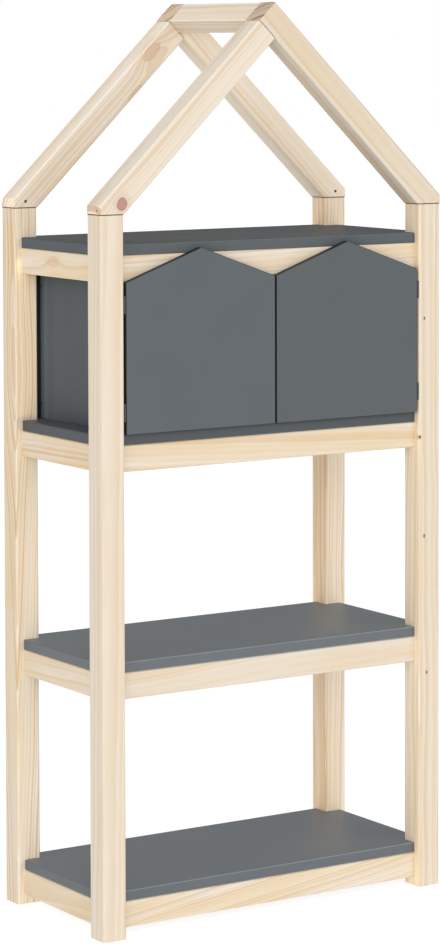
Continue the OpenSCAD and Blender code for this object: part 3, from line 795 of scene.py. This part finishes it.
def make_posts():
    for name, settings in POST_GRAINS.items():
        lo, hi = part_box(name)
        outline = [(lo.x, lo.y, 0), (hi.x, lo.y, 0), (hi.x, hi.y, 0), (lo.x, hi.y, 0)]
        bm = prism(outline, (0, 0, hi.z))
        round_timber(bm, Z_AXIS)
        middle = Vector(((lo.x + hi.x) / 2, (lo.y + hi.y) / 2, 0))
        wood = pine("pine_" + name, middle, Z_AXIS, X_AXIS, seams=[(hi.z * Z_AXIS, Z_AXIS)], **settings)
        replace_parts(new_object("timber_" + name, bm, wood), name)


def slope_axes(side):
    """Unit vectors down the slope and out of the roof: side is -1 for the left slope, 1 for the right."""
    down = Vector((side * math.cos(ROOF_PITCH), 0, -math.sin(ROOF_PITCH)))
    out = Vector((side * math.sin(ROOF_PITCH), 0, math.cos(ROOF_PITCH)))
    return down, out


def cut_point(point, way, corner, normal):
    """Where the line through a point meets the plane through a corner."""
    return point + way * ((corner - point).dot(normal) / way.dot(normal))


def rafter_outline(side):
    """Corners of a rafter in the XZ plane. The right one runs through, the left one butts against it."""
    apex = Vector((0, 0, APEX_Z))
    down, out = slope_axes(side)
    other_out = slope_axes(-side)[1]
    under = apex - out * POST_SIDE
    stop = apex if side > 0 else apex - other_out * POST_SIDE
    end_x = Vector((side * HALF_W, 0, POST_TOP))
    return [
        cut_point(apex, down, stop, other_out),
        cut_point(apex, down, end_x, X_AXIS),
        end_x,
        cut_point(under, down, end_x, Z_AXIS),
        cut_point(under, down, stop, other_out),
    ]


def foot_hole(side, inner_y, inward):
    """Hole of the lock screw, from the inner face of a rafter's foot to the middle of the timber."""
    lo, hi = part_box("foot_lock_screws")
    x = side * (HALF_W - POST_SIDE / 2)
    z = (lo.z + hi.z) / 2
    radius = (hi.z - lo.z) / 2 + LOCK_PLAY
    return (x, inner_y - inward * LOCK_OUTSIDE, z), (x, inner_y + inward * POST_SIDE / 2, z), radius


def apex_hole(apex):
    """Counterbore of the apex screw, which goes through the right rafter into the end of the left one."""
    down, out = slope_axes(-1)
    head = apex - out * POST_SIDE / 2 + down * APEX_HEAD_DEPTH
    return head - down * APEX_OUTSIDE, head, APEX_HOLE_R


def make_rafters():
    for (side_name, end_name), settings in RAFTER_GRAINS.items():
        side = 1 if side_name == "right" else -1
        node = f"rafter_{end_name}_{side_name}"
        lo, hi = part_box(node)
        down, out = slope_axes(side)
        bm = prism([Vector((p.x, lo.y, p.z)) for p in rafter_outline(side)], (0, hi.y - lo.y, 0))
        round_timber(bm, down)
        apex = Vector((0, (lo.y + hi.y) / 2, APEX_Z))
        inner_y, inward = (lo.y, 1) if end_name == "back" else (hi.y, -1)
        holes = [foot_hole(side, inner_y, inward)]
        seams, lift = [(POST_TOP * Z_AXIS, Z_AXIS)], []
        if side > 0:
            holes.append(apex_hole(apex))
        else:
            right_out = slope_axes(1)[1]
            seams.append((apex - right_out * POST_SIDE, right_out))
            # painted light: the outer face of the left slope is brightened
            lift.append((out, LEFT_SLOPE_PAINTED_LIGHT))
        middle = apex - out * POST_SIDE / 2
        wood = pine("pine_" + node, middle, down, -side * Y_AXIS, lift=lift, seams=seams, **settings)
        piece = new_object("timber_" + node, bm, wood)
        drill(piece, holes)
        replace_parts(piece, node)


def make_ridge():
    name = "ridge_beam"
    down, out = slope_axes(-1)
    lo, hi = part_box(name)
    apex = Vector((0, lo.y, APEX_Z))
    across, inwards = down * POST_SIDE, out * RIDGE_DEPTH
    bm = prism([apex, apex + across, apex + across - inwards, apex - inwards], (0, hi.y - lo.y, 0))
    round_edges(bm, lambda edge: runs_along(edge, Y_AXIS), RIDGE_ROUND, segments=5)
    middle = Vector((0, 0, APEX_Z)) + across / 2 - inwards / 2
    # painted light: the ridge's outer face is brightened
    wood = pine("pine_ridge", middle, Y_AXIS, down, lift=[(out, RIDGE_PAINTED_LIGHT)], **RIDGE_GRAIN)
    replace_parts(new_object("timber_ridge", bm, wood), name)


def dress_rails():
    """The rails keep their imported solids: each gets its own piece of the tree."""
    for name, settings in RAIL_GRAINS.items():
        lo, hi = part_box(name)
        along, across = (X_AXIS, Y_AXIS) if name.endswith(("front", "back")) else (Y_AXIS, X_AXIS)
        mesh = NODES[name].data
        mesh.materials.clear()
        mesh.materials.append(pine("pine_" + name, (lo + hi) / 2, along, across, **settings))


# Boards, panels and doors

def board_outline(half_x, half_y):
    """Board with a corner notched round each post, seen from above."""
    inner_x = HALF_W - POST_SIDE - NOTCH_GAP
    inner_y = HALF_D - POST_SIDE - NOTCH_GAP
    outline = []
    for sx, sy in ((-1, -1), (1, -1), (1, 1), (-1, 1)):
        notch = (sx * inner_x, sy * inner_y)
        points = [(sx * half_x, notch[1]), notch, (notch[0], sy * half_y)]
        outline += points if sx * sy > 0 else points[::-1]
    return outline


def make_boards():
    """The four boards: the colour, the gloss, and the brightness of the edges and of their rounding, which
    are painted shade and a painted highlight.
    """
    looks = {
        "bottom_shelf": (PALE_GREY, 0.35, 0.61, 1.7),
        "middle_shelf": (PALE_GREY, 0.35, 0.66, 1.7),
        "cabinet_floor": (GREY, 0.35, 0.63, 1.6),
        "top_shelf": (TOP_GREY, 0.02, 0.99, 1.3),
    }
    for name, (colour, gloss, edge, arris_highlight) in looks.items():
        lo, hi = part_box(name)
        bm = prism([(x, y, lo.z) for x, y in board_outline(hi.x, hi.y)], (0, 0, hi.z - lo.z))
        round_edges(bm, is_corner, BOARD_ROUND, segments=3)
        # painted shade along the bottom of the board's edges, where it sits on the rails
        painted_shade_on_rail = [(facing, -Z_AXIS, -lo.z - ON_RAIL_PAINTED_SHADE, -lo.z, PAINTED_SHADE_TONE)
                   for facing in (-X_AXIS, X_AXIS, -Y_AXIS, Y_AXIS)]
        coat = paint("paint_" + name, colour, 0.45, gloss, Z_AXIS, edge, arris_highlight, painted_shade_on_rail)
        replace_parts(new_object("painted_" + name, bm, coat), name)


def skew_holes(side, outer_x):
    """Mouths of the skew screws that hold the back panel, on the outer face of a side panel."""
    lo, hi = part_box("cabinet_back")
    inward = Vector((-side, 1, 0)).normalized()
    mouths = [Vector((side * outer_x, lo.y - SKEW_FRONT, z)) for z in (lo.z + SKEW_RISE, hi.z - SKEW_RISE)]
    return [(mouth - inward * SKEW_OUTSIDE, mouth + inward * SKEW_DEPTH, SKEW_HOLE_R) for mouth in mouths]


def make_side_panel(name, side, outer_x):
    """Side panel that reaches up between the top rails, with painted shade under them and painted light
    towards the back post, where it lies in shade.
    """
    lo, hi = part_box(name)
    rail_lo, rail_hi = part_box("top_rail_front")
    tongue = -rail_hi.y - RAIL_GAP
    shoulder = rail_lo.z - RAIL_GAP
    outer = side * X_AXIS
    # painted shade under the top rail, and painted light towards the back where the panel lies in shade
    painted_shade_under_rail = (outer, Z_AXIS, rail_lo.z - UNDER_RAIL_START, rail_lo.z - UNDER_RAIL_END, PAINTED_SHADE_TONE)
    tones = [painted_shade_under_rail, (outer, Y_AXIS, *BACK_PART_PAINTED_LIGHT), (outer, Y_AXIS, *BESIDE_POST_PAINTED_LIGHT)]
    grey = paint("paint_" + name, SIDE_GREY, corners=tones)
    outline = [(lo.y, lo.z), (hi.y, lo.z), (hi.y, shoulder), (tongue, shoulder), (tongue, hi.z),
               (-tongue, hi.z), (-tongue, shoulder), (lo.y, shoulder)]
    bm = prism([(lo.x, y, z) for y, z in outline], (hi.x - lo.x, 0, 0))
    round_edges(bm, is_corner, PANEL_ROUND, segments=2)
    panel = new_object("painted_" + name, bm, grey)
    drill(panel, skew_holes(side, outer_x))
    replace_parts(panel, name)


def make_back_panel(outer_x):
    """Back panel, with painted shade where it reaches past the side panels."""
    name = "cabinet_back"
    lo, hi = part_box(name)
    start, end = outer_x - PAST_PANEL_START, outer_x + PAST_PANEL_END
    # painted shade on the strips of the front face beside the side panels
    painted_shade_past_panels = [(-Y_AXIS, side * X_AXIS, start, end, PAINTED_SHADE_TONE) for side in (-1, 1)]
    grey = paint("paint_" + name, PANEL_GREY, corners=painted_shade_past_panels)
    outline = [(lo.x, lo.z), (hi.x, lo.z), (hi.x, hi.z), (lo.x, hi.z)]
    bm = prism([(x, lo.y, z) for x, z in outline], (0, hi.y - lo.y, 0))
    round_edges(bm, is_corner, PANEL_ROUND, segments=2)
    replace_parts(new_object("painted_" + name, bm, grey), name)


def make_panels():
    outer_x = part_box("cabinet_side_right")[1].x
    make_side_panel("cabinet_side_left", -1, outer_x)
    make_side_panel("cabinet_side_right", 1, outer_x)
    make_back_panel(outer_x)


def make_door(name):
    """Door with a gable-shaped top, rounded more at the front."""
    node = "door_" + name
    lo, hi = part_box(node)
    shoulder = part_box("top_rail_front")[0].z
    outline = [(lo.x, lo.z), (hi.x, lo.z), (hi.x, shoulder), ((lo.x + hi.x) / 2, hi.z), (lo.x, shoulder)]
    bm = prism([(x, lo.y, z) for x, z in outline], (0, hi.y - lo.y, 0))

    def at_front(edge):
        return is_corner(edge) and all(abs(v.co.y - lo.y) < 0.01 * MM for v in edge.verts)

    round_edges(bm, at_front, DOOR_ROUND, segments=5)
    round_edges(bm, is_corner, PANEL_ROUND, segments=2)
    # painted shade: the door's edge faces are darkened, for the shade in the gaps round the door
    coat = paint("paint_" + node, DOOR_GREY[name], main=Y_AXIS, edge=0.2)
    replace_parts(new_object("painted_" + node, bm, coat, body=name + "_door"), node)


def dress_small_parts():
    """Dowels, screws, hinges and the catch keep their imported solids."""
    for row in frame["record"]["subparts"]:
        material = MATERIALS.get(row["material_slot"])
        if material:
            mesh = NODES[row["node"]].data
            mesh.materials.clear()
            mesh.materials.append(material)


make_camera()
make_lights()
make_world()
make_floor()
dress_small_parts()
dress_rails()
make_posts()
make_rafters()
make_ridge()
make_boards()
make_panels()
for door_name in ("left", "right"):
    make_door(door_name)
